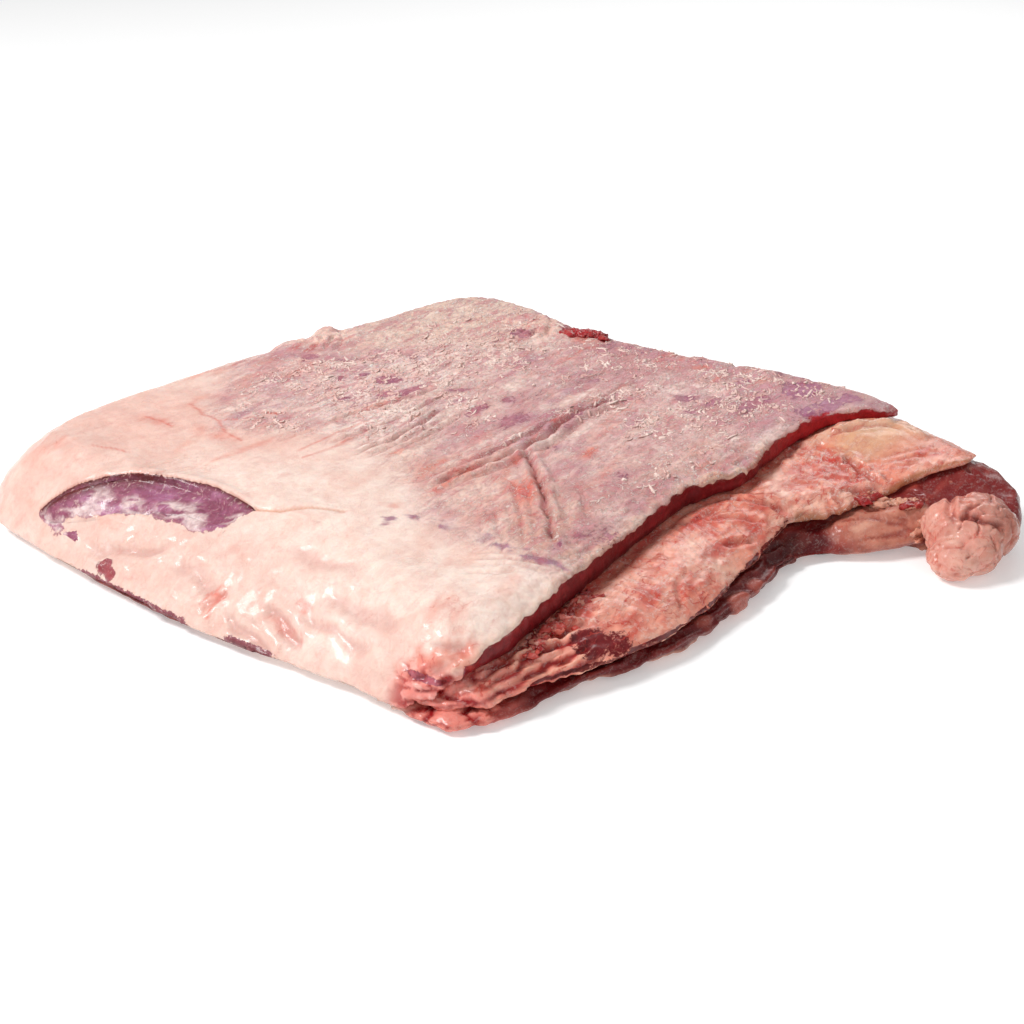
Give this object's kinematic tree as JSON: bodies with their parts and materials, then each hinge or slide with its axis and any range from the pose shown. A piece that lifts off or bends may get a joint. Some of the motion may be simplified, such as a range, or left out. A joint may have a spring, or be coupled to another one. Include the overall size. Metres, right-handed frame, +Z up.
{
  "type": "raw beef brisket",
  "caption": "Raw whole beef brisket, a broad flat slab of meat with its pale fat side up, a ledge of seam fat along one cut side and a lump of fat at the nose.",
  "frame": {"origin": "middle of the footprint, on the surface that the slab lies on", "axes": "+Z up through the fat side; the long cut front with the ledge of fat faces -Y, the nose is at +X and -Y, and the rounded side with the long slit faces -X"},
  "size_m": [0.446, 0.4664, 0.0513],
  "materials": {
    "silverskin": "moist satin",
    "seam_fat": "wet",
    "lean": "wet",
    "nose_fat": "wet"
  },
  "bodies": {
    "root": {"upper_muscle": "silverskin", "seam_fat": "seam_fat", "lower_muscle": "lean", "nose_fat": "nose_fat"}
  },
  "joints": []
}
